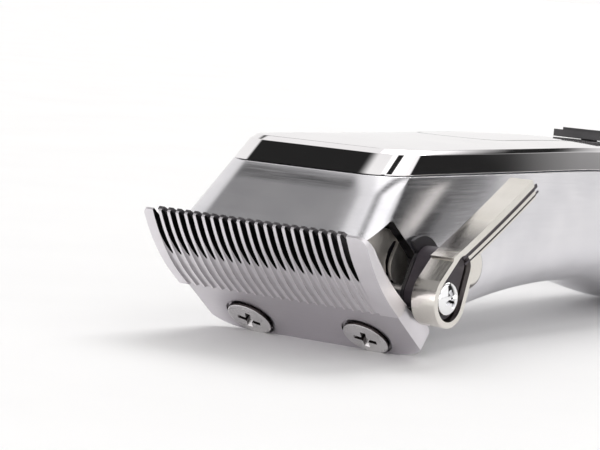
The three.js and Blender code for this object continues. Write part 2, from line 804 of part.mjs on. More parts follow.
clipper.add(
  mesh("lower_housing", lowerHousing(), brushed()),
  mesh("lid", lid(), polished()),
  mesh("rear_cap", rearCap(), blackPlastic()),
  mesh("chassis", chassis(), blackPlastic()),
  mesh("tension_spring_right", tensionSpring(7.2, 12), nickel()),
  mesh("tension_spring_left", tensionSpring(-12, -7.2), nickel()),
  mesh("side_leaf", sideLeaf(), nickel()),
  mesh("lever_boss", leverBoss(), blackPlastic()),
  mesh("motor_can", motorCan(), darkSteel()),
  mesh("motor_end_bell", motorEndBell(), whitePlastic()),
  mesh("bearing_front", bearing(motorFront + 0.1, motorFront + 1.4), brass()),
  mesh("bearing_rear", bearing(motorBack + 0.6, 48.6), brass()),
  mesh("battery_cell", batteryCell(), cellWrap()),
  mesh("circuit_board", circuitBoard(), greenBoard()),
  mesh("charge_socket", chargeSocket(), blackPlastic()),
  mesh("charge_pin", rodY(0.65, 133.4, 138.5, 0, inletHeight, 16), brass()),
  mesh("charge_light", chargeLight(), whitePlastic()),
  mesh("switch_block", switchBlock(), blackPlastic()),
  mesh("housing_screw_front", housingScrew(screwPosts[0]), darkSteel()),
  mesh("housing_screw_rear", housingScrew(screwPosts[1]), darkSteel()),
  mesh("rotor_shaft", rodY(1, 10, 48.8, 0, motorHeight, 20), darkSteel()),
  mesh("rotor_core", rotorCore(), copper()),
  mesh("eccentric", eccentric(), whitePlastic()),
  mesh("switch_knob", switchKnob(), blackPlastic()),
  mesh("lever_arm", leverArm(), nickel()),
  mesh("lever_insert", leverInsert(), plumPlastic()),
  mesh("lever_hub", leverHub(), plumPlastic()),
  mesh("lever_shaft", leverShaft(), darkSteel()),
  mesh("lever_screw", leverScrew(), polished()),
);

const bladeSet = new THREE.Group();
bladeSet.rotation.x = Math.PI - bladeTilt;
const cutter = new THREE.Group();
cutter.position.x = cutterRest;
cutter.add(
  mesh("cutter_blade", cutterBlade(), darkSteel()),
  mesh("cutter_yoke", cutterYoke(), blackPlastic()),
);
bladeSet.add(
  mesh("fixed_blade", fixedBlade(), satinSteel()),
  cutter,
  mesh("cutter_carriage", cutterCarriage(), blackPlastic()),
);
for (const [name, side] of [["blade_screw_left", -1], ["blade_screw_right", 1]]) {
  const screw = mesh(name, bladeScrew(), satinSteel());
  screw.position.x = side * screwSpacing / 2;
  screw.rotation.z = side * deg(20);
  bladeSet.add(screw);
}
clipper.add(bladeSet);

export default clipper;
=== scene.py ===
"""Looks of the cordless hair clipper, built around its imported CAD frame.

Shapes are built in millimetres in the CAD part's own design frame and then placed in the row
frame. The design frame has its origin midway between the two blade screws, on the blade's outer
face; +X is the lever side, +Y runs to the tail and +Z is up to the lid.
"""

import json
import math

import bmesh
import bpy
from mathutils import Matrix, Vector

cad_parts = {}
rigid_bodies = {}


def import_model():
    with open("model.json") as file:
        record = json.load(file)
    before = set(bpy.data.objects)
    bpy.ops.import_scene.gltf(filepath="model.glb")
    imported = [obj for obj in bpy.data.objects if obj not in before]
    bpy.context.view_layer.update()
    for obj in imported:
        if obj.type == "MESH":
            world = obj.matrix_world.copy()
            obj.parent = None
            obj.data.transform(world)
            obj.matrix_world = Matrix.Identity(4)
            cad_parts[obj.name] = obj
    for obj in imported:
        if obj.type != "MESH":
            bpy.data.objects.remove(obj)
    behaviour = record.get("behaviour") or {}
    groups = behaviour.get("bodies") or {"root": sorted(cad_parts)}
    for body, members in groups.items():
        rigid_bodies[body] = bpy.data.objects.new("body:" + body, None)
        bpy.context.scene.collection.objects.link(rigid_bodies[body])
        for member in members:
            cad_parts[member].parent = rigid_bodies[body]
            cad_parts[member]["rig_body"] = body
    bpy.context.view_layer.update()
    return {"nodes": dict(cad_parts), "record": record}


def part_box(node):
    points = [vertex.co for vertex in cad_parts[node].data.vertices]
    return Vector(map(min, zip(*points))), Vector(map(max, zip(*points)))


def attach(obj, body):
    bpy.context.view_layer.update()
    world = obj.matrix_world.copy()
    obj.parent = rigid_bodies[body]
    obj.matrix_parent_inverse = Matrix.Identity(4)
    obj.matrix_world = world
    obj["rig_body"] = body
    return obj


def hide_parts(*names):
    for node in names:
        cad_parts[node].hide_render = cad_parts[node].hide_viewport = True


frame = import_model()
nodes = frame["nodes"]
mounts = {mount["name"]: mount for mount in frame["record"]["mounts"]}

# ---------- the design frame, and the blade's own frame ----------
MM = 0.001
blade_centre = Vector(mounts["guard_seat"]["pos_m"])
blade_out = Vector(mounts["guard_seat"]["axis"])
blade_tilt = math.asin(-blade_out.y)
DESIGN = Matrix.Translation(blade_centre) @ Matrix.Scale(MM, 4)
BLADE = DESIGN @ Matrix.Rotation(math.pi - blade_tilt, 4, "X")


def design_box(node):
    """Lowest and highest corner of a CAD node in the design frame, in millimetres."""
    return [(corner - blade_centre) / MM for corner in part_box(node)]


# ---------- dimensions of the body, in millimetres ----------
cap_low, cap_high = design_box("rear_cap")
gap = 0.3
half_width = 17.5
waist_depth, waist_start, waist_end = 0.9, 30, 140
nose_flare, flare_depth, flare_end, shoulder = 2.4, 12, 45, 0.35
parting_height = 26.5
spine_start, spine_length, spine_drop = 50, 90, 8
belly_front, belly_rise = -1, 6.6
belly_rise_start, belly_rise_end = 4, 60
foot_start, foot_end, foot_height = 66, 118, cap_low.z
bottom_radius = 9
front_at_parting = -5
front_slope = 8.2 / 8.4
lid_front_slope = 4.8 / 4.1
front_radius, tail_radius = 7, 13
tail_end = cap_high.y
cap_joint = cap_low.y
wall = 1.6
lid_height, lid_crown = 4.1, 0.9
band_height, band_inset, rim_inset = 3.4, 0.4, 1.1
nose_plane, lip_plane, lip_start = -7, -5.4, 17
screw_posts = (52.8, 114)
post_radius, bore_radius, seat_radius = 3.2, 1.5, 2.9
light_place = 108
switch_middle, switch_slot_half, switch_slot_end = 85, 3.6, 1.6
inlet_height = 7

# ---------- dimensions of the blade set, in millimetres ----------
blade_low, blade_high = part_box("fixed_blade")
blade_left = -blade_low.x / MM
blade_right = blade_high.x / MM
base_half = 21.7
tooth_shift, tooth_pitch, blade_gaps = -0.3, 1.8, 22
blade_thickness, tip_reach, gap_root = 3, 25.2, 17.2
toothed_step, bend_start, tip_face = 0.8, 11, -2.6
step_foot, step_top = 8.4, 8.75
end_tooth_start = 20.8
hollow_start, hollow_length, hollow_depth = 2.5, 19.5, 1.2
screw_spacing, screw_head_radius = 23.9, 4.05

# ---------- dimensions of the taper lever, in millimetres ----------
arm_side = design_box("lever_arm")[1].x
arm_rise, arm_length, arm_bow, arm_half_width = math.radians(28.5), 23.2, 0.4, 3
arm_root = (2.5, 13)
# distance below the arm's upper edge, width and depth of each groove and of the dark strip of painted
# shade laid in it
arm_grooves_and_shade_strips = ((1.6, 0.66, 0.4), (2.72, 0.34, 0.3))


# ---------- mesh helpers ----------
def linked(name, bm):
    """Scene object made from a finished bmesh."""
    mesh = bpy.data.meshes.new(name)
    bm.to_mesh(mesh)
    bm.free()
    obj = bpy.data.objects.new(name, mesh)
    bpy.context.scene.collection.objects.link(obj)
    return obj


def new_object(name, vertices, faces):
    """Scene object from points and faces, with doubled points merged and faces turned outwards."""
    bm = bmesh.new()
    corners = [bm.verts.new(vertex) for vertex in vertices]
    for face in faces:
        bm.faces.new([corners[index] for index in face])
    bmesh.ops.remove_doubles(bm, verts=bm.verts, dist=1e-5)
    bmesh.ops.dissolve_degenerate(bm, dist=1e-6, edges=bm.edges)
    bmesh.ops.recalc_face_normals(bm, faces=bm.faces)
    return linked(name, bm)


def walls(levels, count):
    """Faces between rings of equal length that follow each other in one list of points."""
    faces = []
    for level in range(levels - 1):
        for i in range(count):
            a = level * count + i
            b = level * count + (i + 1) % count
            faces.append((a, b, b + count, a + count))
    return faces


def apply_modifiers(obj):
    graph = bpy.context.evaluated_depsgraph_get()
    mesh = bpy.data.meshes.new_from_object(obj.evaluated_get(graph))
    obj.modifiers.clear()
    obj.data = mesh


def combine(obj, operation, tools):
    """Cuts obj with the tools, joins them to it or keeps what they share, and removes the tools."""
    for tool in tools:
        modifier = obj.modifiers.new("combine", "BOOLEAN")
        modifier.operation = operation
        modifier.solver = "MANIFOLD"
        modifier.object = tool
    apply_modifiers(obj)
    for tool in tools:
        bpy.data.objects.remove(tool)
    return obj


def bevelled(obj, width, segments=2, angle=30):
    modifier = obj.modifiers.new("bevel", "BEVEL")
    modifier.width = width
    modifier.segments = segments
    modifier.limit_method = "ANGLE"
    modifier.angle_limit = math.radians(angle)
    apply_modifiers(obj)
    return obj


def lofted(name, rings):
    """Closed body through rings of equal length, each symmetric about X = 0 and starting there."""
    count = len(rings[0])
    vertices = [point for ring in rings for point in ring]
    faces = walls(len(rings), count)
    top = (len(rings) - 1) * count
    for i in range(count // 2):
        pair = [i, i + 1, count - i - 1, (count - i) % count]
        if len(set(pair)) > 2:
            cap = list(dict.fromkeys(pair))
            faces.append(tuple(reversed(cap)))
            faces.append(tuple(top + index for index in cap))
    return new_object(name, vertices, faces)


def prism(name, outline_points, low, high, axis="Z"):
    """Outline given a thickness along an axis: (x, y) points for Z, (y, z) for X, (x, z) for Y."""
    place = {
        "Z": lambda a, b, t: (a, b, t),
        "X": lambda a, b, t: (t, a, b),
        "Y": lambda a, b, t: (a, t, b),
    }[axis]
    count = len(outline_points)
    vertices = [place(a, b, t) for t in (low, high) for a, b in outline_points]
    sides = [(i, (i + 1) % count, (i + 1) % count + count, i + count) for i in range(count)]
    ends = [tuple(range(count)), tuple(range(count, 2 * count))]
    return new_object(name, vertices, sides + ends)


def block(low, high):
    corners = [(low[0], low[1]), (high[0], low[1]), (high[0], high[1]), (low[0], high[1])]
    return prism("block", corners, low[2], high[2])


def arc(centre, radius, start, end, steps, squash=1):
    """Points of an arc, angles in degrees; squash scales its second axis."""
    angles = [math.radians(start + (end - start) * step / steps) for step in range(steps + 1)]
    return [
        (centre[0] + radius * math.cos(t), centre[1] + radius * squash * math.sin(t))
        for t in angles
    ]


def rod(radius, low, high, centre, axis="Z", steps=48):
    return prism("rod", arc(centre, radius, 0, 360, steps)[:-1], low, high, axis)


def turned(name, profile, steps=64):
    """Body of revolution about Z from (radius, height) points that start and end on the axis."""
    angles = [2 * math.pi * step / steps for step in range(steps)]
    vertices = [(radius * math.cos(t), radius * math.sin(t), height)
                for radius, height in profile for t in angles]
    return new_object(name, vertices, walls(len(profile), steps))


def moved(obj, matrix):
    obj.data.transform(matrix)
    return obj


def filleted(points, radii, steps=5):
    """Open polyline with its inner corners rounded by the given radii."""
    rounded = [points[0]]
    for before, corner, after, radius in zip(points, points[1:], points[2:], radii):
        corner = Vector(corner)
        into = (Vector(before) - corner).normalized()
        out = (Vector(after) - corner).normalized()
        half_angle = into.angle(out) / 2
        reach = radius / math.tan(half_angle)
        start = corner + into * reach
        end = corner + out * reach
        for step in range(steps + 1):
            t = step / steps
            rounded.append(tuple(start.lerp(corner, t).lerp(corner.lerp(end, t), t)))
    rounded.append(points[-1])
    return rounded


# ---------- body surfaces ----------
def clamp01(t):
    return min(max(t, 0), 1)


def smoothstep(start, end, y):
    t = clamp01((y - start) / (end - start))
    return t * t * (3 - 2 * t)


def half_width_at(y):
    t = clamp01((y - waist_start) / (waist_end - waist_start))
    return half_width - waist_depth * math.sin(math.pi * t) ** 2


def parting_at(y):
    return parting_height - spine_drop * clamp01((y - spine_start) / spine_length) ** 2


def belly_at(y):
    rise = clamp01((y - belly_rise_start) / (belly_rise_end - belly_rise_start))
    dip = (belly_front + belly_rise - foot_height) * smoothstep(foot_start, foot_end, y)
    return belly_front + belly_rise * math.sin(math.pi / 2 * rise) - dip


def outline(inset, front_y, corner_steps=16, side_steps=56):
    """Plan outline of the body as (x, y), counter-clockwise from the middle of the front."""
    front = max(front_radius - inset, 0.6)
    tail = max(tail_radius - inset, 0.6)
    end = tail_end - inset
    half = [(0, front_y)]
    centre = half_width_at(front_y + front) - inset - front
    half += arc((centre, front_y + front), front, -90, 0, corner_steps)
    for step in range(1, side_steps):
        y = front_y + front + (end - tail - front_y - front) * step / side_steps
        half.append((half_width_at(y) - inset, y))
    centre = half_width_at(end - tail) - inset - tail
    half += arc((centre, end - tail), tail, 0, 90, corner_steps)
    half.append((0, end))
    return half + [(-x, y) for x, y in reversed(half[1:-1])]


def flared(point):
    """The nose widens from the parting line down to the blade; it fades towards the tail."""
    x, y, z = point
    depth = clamp01((parting_at(y) - z) / flare_depth)
    widening = nose_flare * depth * (1 - smoothstep(0, flare_end, y))
    return (x * (1 + widening / half_width), y, z)


def tub_rings(inset, levels=18):
    """Rings of the lower body: rounded along the bottom edge, with a slanted front face."""
    radius = bottom_radius - inset
    nose_height = parting_height - belly_front
    shift = inset * math.hypot(1, front_slope)
    lip = 0.12

    def front_at(height):
        return front_at_parting - (nose_height - height) * front_slope + shift

    rings = []
    for level in range(levels + 1):
        angle = math.pi / 2 * level / levels
        edge = inset + radius * (1 - math.sin(angle))
        height = inset + radius * (1 - math.cos(angle))
        rings.append([(x, y, belly_at(y) + height) for x, y in outline(edge, front_at(height))])
    for part in (shoulder, 0.5, 0.67, 0.84, 1):
        height = bottom_radius + (nose_height - bottom_radius) * part
        low_lip = lip if part == 1 else 0
        ring = []
        for x, y in outline(inset, front_at(height - low_lip)):
            low = belly_at(y) + bottom_radius
            ring.append((x, y, low + (parting_at(y) - low) * part - low_lip))
        rings.append(ring)
    inner = outline(inset + lip, front_at_parting + shift + lip)
    rings.append([(x, y, parting_at(y)) for x, y in inner])
    return [[flared(point) for point in ring] for ring in rings]


def lid_profile():
    """(inset, height) of the lid's edge: drafted band, bevel, then the crowned top."""
    low = gap / 2
    corners = [(0.14, low), (0, low + 0.14), (band_inset, band_height), (rim_inset, lid_height)]
    crown = []
    for inset in (2.6, 4, 5.5, 7, 8.5, 10, 11.5, 13, 14.5, 16):
        reach = (half_width - inset) / (half_width - rim_inset)
        crown.append((inset, lid_height + lid_crown * (1 - reach ** 2)))
    edge = filleted(corners + crown[:1], (0.05, 0.22, 0.3))
    return edge[:-1] + crown


def lid_ring(inset, height):
    front_y = front_at_parting + min(height, lid_height) * lid_front_slope
    front_y += max(inset - band_inset, 0)
    return [(x, y, parting_at(y) + height) for x, y in outline(inset, front_y)]


def nose_notch(x0, x1):
    """V-shaped side opening behind the blade."""
    corners = [(-30, 10), (-11.7, 16.5), (-5.3, 19.9), (1.1, 13.6), (3.5, 4.2), (6.4, 1.2),
               (8.4, -4)]
    edge = filleted(corners, (0.8, 0.8, 1.2, 1.2, 0.6), 4)
    return prism("notch", edge + [(-30, -4)], x0, x1, "X")


def blade_slab(low, high):
    """Block set along the blade, in the design frame."""
    return moved(block(low, high), Matrix.Rotation(math.pi - blade_tilt, 4, "X"))


def before_cap():
    """Everything in front of the joint with the tail cap."""
    return block((-60, -60, -60), (60, cap_joint - gap, 60))


def housing_shell():
    shell = lofted("housing_shell", tub_rings(0))
    cavity_rings = tub_rings(wall, 10)[:-1]
    lifted = outline(wall, front_at_parting + 2)
    cavity_rings.append([(x, y, parting_at(y) + 3) for x, y in lifted])
    cavity = lofted("cavity", cavity_rings)
    posts = [rod(post_radius, belly_at(y) + 0.8, belly_at(y) + 7, (0, y)) for y in screw_posts]
    bores = [rod(bore_radius, belly_at(y) - 3, belly_at(y) + 9, (0, y)) for y in screw_posts]
    seats = [rod(seat_radius, belly_at(y) - 3, belly_at(y) + 1.6, (0, y)) for y in screw_posts]
    nose_cuts = [blade_slab((-60, -60, nose_plane), (60, lip_start, 60)),
                 blade_slab((-60, lip_start - 0.01, lip_plane), (60, 60, 60))]
    combine(shell, "DIFFERENCE", [cavity])
    combine(shell, "INTERSECT", [before_cap()])
    combine(shell, "UNION", posts)
    cuts = [*nose_cuts, nose_notch(13, 30), nose_notch(-30, -13), *bores, *seats]
    return combine(shell, "DIFFERENCE", cuts)


def lid_groove():
    """Narrow engraved line round the thumb area, as a closed band that stands in the lid's top."""
    half, front, back, width = 8.6, 35, 101, 0.34

    def loop(offset):
        wide = half + offset
        first = arc((0, front + half), wide, 180, 360, 32)
        return first + arc((0, back - half), wide, 0, 180, 32)

    low = lid_height + lid_crown - 0.32
    outer = prism("groove", loop(width / 2), low, low + 4)
    inner = prism("inner", loop(-width / 2), low - 1, low + 5)
    band = combine(outer, "DIFFERENCE", [inner])
    for vertex in band.data.vertices:
        vertex.co.z += parting_at(vertex.co.y)
    return band


def lid_shell():
    shell = lofted("lid_shell", [lid_ring(*point) for point in lid_profile()])
    below = outline(wall, front_at_parting + 1.6)
    above = outline(wall + 0.5, front_at_parting + 5)
    hollow = lofted("hollow", [
        [(x, y, parting_at(y) - 2) for x, y in below],
        [(x, y, parting_at(y) + 2.7) for x, y in above],
    ])
    reach = switch_slot_half - switch_slot_end
    slot_loop = (arc((0, switch_middle - reach), switch_slot_end, 180, 360, 12)
                 + arc((0, switch_middle + reach), switch_slot_end, 0, 180, 12))
    slot = prism("slot", slot_loop, 20, 40)
    light_hole = rod(1.5, 10, 40, (0, light_place))
    combine(shell, "INTERSECT", [before_cap()])
    return combine(shell, "DIFFERENCE", [hollow, slot, light_hole, lid_groove()])


def rear_cap_shell():
    rings = tub_rings(0)[:-1] + [lid_ring(*point) for point in lid_profile()[6:]]
    shell = lofted("rear_cap_shell", rings)
    behind = block((-60, cap_joint, -60), (60, 200, 60))
    hollow_rings = tub_rings(2.4, 8)[:-1]
    lifted = outline(2.6, front_at_parting + 5)
    hollow_rings.append([(x, y, parting_at(y) + 2.2) for x, y in lifted])
    hollow = lofted("hollow", hollow_rings)
    combine(hollow, "INTERSECT", [block((-60, 100, -60), (60, 137, 60))])
    combine(shell, "INTERSECT", [behind])
    socket_hole = rod(4.3, 130, 150, (0, inlet_height), "Y")
    return combine(shell, "DIFFERENCE", [hollow, socket_hole])


# ---------- blade set, in the blade's own frame: u across, v to the tips, n outwards ----------
def blade_face(v):
    """Height of the toothed part's outer face."""
    run = tip_reach - bend_start
    fall = toothed_step - tip_face
    radius = (run ** 2 + fall ** 2) / (2 * fall)
    past = max(v - bend_start, 0)
    return toothed_step - radius + math.sqrt(radius ** 2 - past ** 2)


def blade_flute(u):
    """Round-bottomed groove that starts in the step and follows one gap to the tips."""
    radius = 0.8
    stations = [(8.0, 0.42), (9, 0.44), (12, 0.46), (15, 0.46), (17.5, 0.36), (20, 0.26),
                (22.5, 0.18), (24.2, 0.12), (26, 0.08)]
    rings = []
    for v, depth in stations:
        centre = blade_face(min(v, tip_reach)) - depth + radius
        round_part = arc((u, centre), radius, 180, 360, 14)
        loop = round_part + [(u + radius, centre + 2), (u - radius, centre + 2)]
        rings.append([(a, v, b) for a, b in loop])
    count = len(rings[0])
    vertices = [point for ring in rings for point in ring]
    ends = [tuple(range(count)), tuple(range(len(vertices) - count, len(vertices)))]
    return new_object("flute", vertices, ends + walls(len(rings), count))


def blade_gap(u):
    """Gap between two teeth: it opens from a point at the root to its full width."""
    edge = [(0.6, tip_reach + 1), (0.55, gap_root + 3.6), (0.44, gap_root + 1.4),
            (0.3, gap_root + 0.1), (0.14, gap_root - 0.7)]
    loop = [(u + a, v) for a, v in edge] + [(u - a, v) for a, v in reversed(edge)]
    return prism("gap", loop, -blade_thickness - 1, 2)


def blade_plan():
    """Outline of the blade seen from outside, with its two heel corners as part ellipses."""
    right_tip, left_tip, corner_rise, corner_v = 1.8, 0.7, 5.7, 1.2
    right_straight, left_straight = 14.6, 15
    right_run = blade_right - right_straight
    left_run = blade_left - left_straight
    plan = arc((right_straight, corner_v), right_run, -90, 0, 20, corner_rise / right_run)
    plan += arc((blade_right - right_tip, tip_reach - right_tip), right_tip, 0, 90, 10)
    plan += arc((-blade_left + left_tip, tip_reach - left_tip), left_tip, 90, 180, 6)
    return plan + arc((-left_straight, corner_v), left_run, 180, 270, 20, corner_rise / left_run)


def blade_profile():
    """(v, n) outline of the blade from the side: hollow-ground behind, stepped and bent in front."""
    hollow_steps, bend_steps = 24, 28
    profile = [(-6, -blade_thickness), (hollow_start, -blade_thickness)]
    for step in range(1, hollow_steps + 1):
        dip = hollow_depth * math.sin(math.pi * step / hollow_steps) ** 0.8
        v = hollow_start + hollow_length * step / hollow_steps
        profile.append((v, -blade_thickness + max(dip, 0)))
    profile.append((tip_reach, -blade_thickness))
    for step in range(bend_steps + 1):
        v = tip_reach - (tip_reach - bend_start) * step / bend_steps
        profile.append((v, blade_face(v)))
    return profile + [(step_top, toothed_step), (step_foot, 0), (-6, 0)]


def blade_plate():
    plate = prism("blade_plate", blade_plan(), -blade_thickness, 1)
    side = prism("side", blade_profile(), -30, 30, "X")
    section = [(-blade_left - 0.2, -blade_thickness), (blade_right, -blade_thickness),
               (base_half - 0.4, 1), (-base_half + 0.9, 1)]
    base = prism("base", section, -30, step_foot + 0.1, "Y")
    combine(base, "UNION", [block((-30, step_foot, -5), (30, 30, 3))])
    combine(plate, "INTERSECT", [side])
    combine(plate, "INTERSECT", [base])
    return bevelled(plate, 0.14, 2)


def toothed_blade():
    plate = blade_plate()
    places = [tooth_shift + (i - (blade_gaps - 1) / 2) * tooth_pitch for i in range(blade_gaps)]
    cuts = [blade_flute(u) for u in places] + [blade_gap(u) for u in places]
    for side in (-1, 1):
        cuts.append(rod(2.0, -5, 3, (side * screw_spacing / 2, 0)))
        cuts.append(rod(screw_head_radius + 0.5, -0.4, 0.6, (side * screw_spacing / 2, 0), steps=64))
    plate.name = "toothed_blade"
    return combine(plate, "DIFFERENCE", cuts)


def cross_recess(reach, width, depth, top):
    """Two tapered slots that cross, for a screwdriver."""
    arms = []
    for turn in (0, 90):
        slope = 0.55
        section = [(-reach * slope, top - depth), (reach * slope, top - depth),
                   (reach * 1.15, top + 0.4), (-reach * 1.15, top + 0.4)]
        arm = prism("arm", section, -width / 2, width / 2, "Y")
        arms.append(moved(arm, Matrix.Rotation(math.radians(turn), 4, "Z")))
    centre = turned("centre", [(0, top - depth - 0.2), (width * 0.55, top - depth),
                               (width * 0.95, top + 0.4), (0, top + 0.4)], 24)
    return arms + [centre]


def pan_screw(side):
    """Large flat-headed blade screw, in the blade's own frame."""
    r = screw_head_radius
    rim = filleted([(1.6, -0.1), (r, -0.1), (r, 0.62), (r * 0.55, 0.74), (0, 0.78)],
                   (0.06, 0.22, 0.8), 6)
    screw = turned("screw", [(0, -7.4), (1.6, -7.4)] + rim, 96)
    combine(screw, "DIFFERENCE", cross_recess(2.1, 0.95, 1.5, 0.78))
    turn = Matrix.Rotation(math.radians(side * 4 - 18), 4, "Z")
    return moved(screw, Matrix.Translation((side * screw_spacing / 2, 0, 0)) @ turn)


def dome_screw():
    """Bright domed screw that holds the lever's insert to its shaft, along X."""
    low, high = design_box("lever_screw")
    middle = (low + high) / 2
    reach = high.x - low.x
    dome = [(0, 0), (1.2, 0), (1.2, reach - 1.45), (2.75, reach - 1.45), (2.75, reach - 1.1)]
    dome += [(2.75 * math.cos(t), reach - 1.1 + 1.1 * math.sin(t))
             for t in (math.pi / 2 * step / 14 for step in range(1, 14))]
    screw = turned("screw", dome + [(0, reach)], 72)
    combine(screw, "DIFFERENCE", cross_recess(1.7, 0.75, 1.3, reach))
    turn = Matrix.Rotation(math.pi / 2, 4, "Y")
    spin = Matrix.Rotation(math.radians(25), 4, "X")
    return moved(screw, Matrix.Translation((low.x, middle.y, middle.z)) @ spin @ turn)


def softened(node, width, segments=2):
    """Copy of a CAD node with its flat faces made whole and its sharp edges rounded."""
    bm = bmesh.new()
    bm.from_mesh(nodes[node].data)
    bmesh.ops.remove_doubles(bm, verts=bm.verts, dist=1e-7)
    bmesh.ops.dissolve_limit(bm, angle_limit=math.radians(0.5), verts=bm.verts, edges=bm.edges)
    return bevelled(linked(node + "_soft", bm), width * MM, segments)


def arm_strip(offset, width, low, high):
    """Strip along the lever arm from low to high in X; offset is measured from its upper edge."""
    along = Vector((math.cos(arm_rise), math.sin(arm_rise)))
    across = Vector((-math.sin(arm_rise), math.cos(arm_rise)))
    upper_edge = Vector(arm_root) + across * arm_half_width
    bends = ((0.6, 0), (arm_length / 2, arm_bow), (arm_length + 1, 0))

    def line(drop):
        start, middle, end = [upper_edge + along * reach - across * (drop + sag)
                              for reach, sag in bends]
        return [tuple(start.lerp(middle, t).lerp(middle.lerp(end, t), t))
                for t in (step / 24 for step in range(25))]

    loop = line(offset - width / 2) + line(offset + width / 2)[::-1]
    return moved(prism("strip", loop, low, high, "X"), DESIGN)


def grooved_arm():
    """The lever's arm, with a groove for each dark strip of painted shade."""
    arm = softened("lever_arm", 0.25)
    return combine(arm, "DIFFERENCE", [arm_strip(offset, width, arm_side - depth, arm_side + 1)
                                       for offset, width, depth in arm_grooves_and_shade_strips])


def insert_and_shade_strips():
    """The lever's insert, joined to thin dark strips in the grooves of the arm that are painted shade
    for those grooves.
    """
    insert = softened("lever_insert", 0.12)
    return combine(insert, "UNION", [arm_strip(offset, width - 0.04, arm_side - depth + 0.02,
                                               arm_side - 0.1)
                                     for offset, width, depth in arm_grooves_and_shade_strips])


# ---------- materials ----------
class Finish:
    """One material, with noise in the object's own space as the source of its variation."""

    def __init__(self, name, **constants):
        self.material = bpy.data.materials.new(name)
        self.material.use_nodes = True
        self.tree = self.material.node_tree
        self.shader = self.tree.nodes["Principled BSDF"]
        self.coordinates = self.tree.nodes.new("ShaderNodeTexCoord").outputs["Object"]
        for socket, value in constants.items():
            self.shader.inputs[socket.replace("_", " ")].default_value = value

    def noise(self, size_mm, stretch=(1, 1, 1), detail=3.0):
        """Noise whose features are about size_mm wide, drawn out by stretch."""
        mapping = self.tree.nodes.new("ShaderNodeMapping")
        mapping.inputs["Scale"].default_value = [1 / factor for factor in stretch]
        texture = self.tree.nodes.new("ShaderNodeTexNoise")
        texture.inputs["Scale"].default_value = 1 / (size_mm * MM)
        texture.inputs["Detail"].default_value = detail
        self.tree.links.new(self.coordinates, mapping.inputs["Vector"])
        self.tree.links.new(mapping.outputs["Vector"], texture.inputs["Vector"])
        return texture.outputs["Fac"]

    def colour(self, value, dark, light):
        ramp = self.tree.nodes.new("ShaderNodeValToRGB")
        ramp.color_ramp.elements[0].position = 0.3
        ramp.color_ramp.elements[0].color = (*dark, 1)
        ramp.color_ramp.elements[1].position = 0.7
        ramp.color_ramp.elements[1].color = (*light, 1)
        self.tree.links.new(value, ramp.inputs["Fac"])
        self.tree.links.new(ramp.outputs["Color"], self.shader.inputs["Base Color"])

    def roughness(self, value, low, high):
        spread = self.tree.nodes.new("ShaderNodeMapRange")
        spread.inputs["From Min"].default_value = 0.3
        spread.inputs["From Max"].default_value = 0.7
        spread.inputs["To Min"].default_value = low
        spread.inputs["To Max"].default_value = high
        self.tree.links.new(value, spread.inputs["Value"])
        self.tree.links.new(spread.outputs["Result"], self.shader.inputs["Roughness"])

    def bump(self, value, height_mm, strength=1.0):
        bump = self.tree.nodes.new("ShaderNodeBump")
        bump.inputs["Distance"].default_value = height_mm * MM
        bump.inputs["Strength"].default_value = strength
        self.tree.links.new(value, bump.inputs["Height"])
        self.tree.links.new(bump.outputs["Normal"], self.shader.inputs["Normal"])


def metal(name, dark, light, rough, grain_mm, stretch, bump_mm, anisotropy=0.0):
    """Metal with a cloudy tint, a drawn-out grain in its gloss and a fine bump along the grain."""
    finish = Finish(name, Metallic=1.0, Anisotropic=anisotropy)
    finish.colour(finish.noise(9), dark, light)
    grain = finish.noise(grain_mm, stretch)
    finish.roughness(grain, *rough)
    finish.bump(grain, bump_mm, 0.6)
    return finish.material


class PaintedShade:
    """Paints shade into parts of a metal's colour, by direction and place."""

    def __init__(self, material):
        self.tree = material.node_tree
        self.shader = self.tree.nodes["Principled BSDF"]
        self.source = self.tree.nodes.new("ShaderNodeTexCoord").outputs
        self.facing = self.split(self.source["Normal"])
        self.place = self.split(self.source["Object"])

    def split(self, vector):
        node = self.tree.nodes.new("ShaderNodeSeparateXYZ")
        self.tree.links.new(vector, node.inputs["Vector"])
        return node.outputs

    def along(self, vector, axis):
        node = self.tree.nodes.new("ShaderNodeVectorMath")
        node.operation = "DOT_PRODUCT"
        node.inputs[1].default_value = axis
        self.tree.links.new(vector, node.inputs[0])
        return node.outputs["Value"]

    def size_of(self, value):
        node = self.tree.nodes.new("ShaderNodeMath")
        node.operation = "ABSOLUTE"
        self.tree.links.new(value, node.inputs[0])
        return node.outputs[0]

    def ramp(self, value, start, end):
        node = self.tree.nodes.new("ShaderNodeMapRange")
        node.inputs["From Min"].default_value = start
        node.inputs["From Max"].default_value = end
        self.tree.links.new(value, node.inputs["Value"])
        return node.outputs["Result"]

    def between(self, value, origin, start_mm, end_mm):
        """Ramp over a place, from one distance past the origin to another."""
        return self.ramp(value, origin + start_mm * MM, origin + end_mm * MM)

    def both(self, a, b):
        node = self.tree.nodes.new("ShaderNodeMath")
        node.operation = "MULTIPLY"
        self.tree.links.new(a, node.inputs[0])
        self.tree.links.new(b, node.inputs[1])
        return node.outputs[0]

    def apply(self, amount, colour):
        base = self.shader.inputs["Base Color"]
        clean = base.links[0].from_socket
        mix = self.tree.nodes.new("ShaderNodeMix")
        mix.data_type = "RGBA"
        colours = [socket for socket in mix.inputs if socket.type == "RGBA"]
        result = next(socket for socket in mix.outputs if socket.type == "RGBA")
        colours[1].default_value = (*colour, 1)
        self.tree.links.new(amount, mix.inputs["Factor"])
        self.tree.links.new(clean, colours[0])
        self.tree.links.new(result, base)


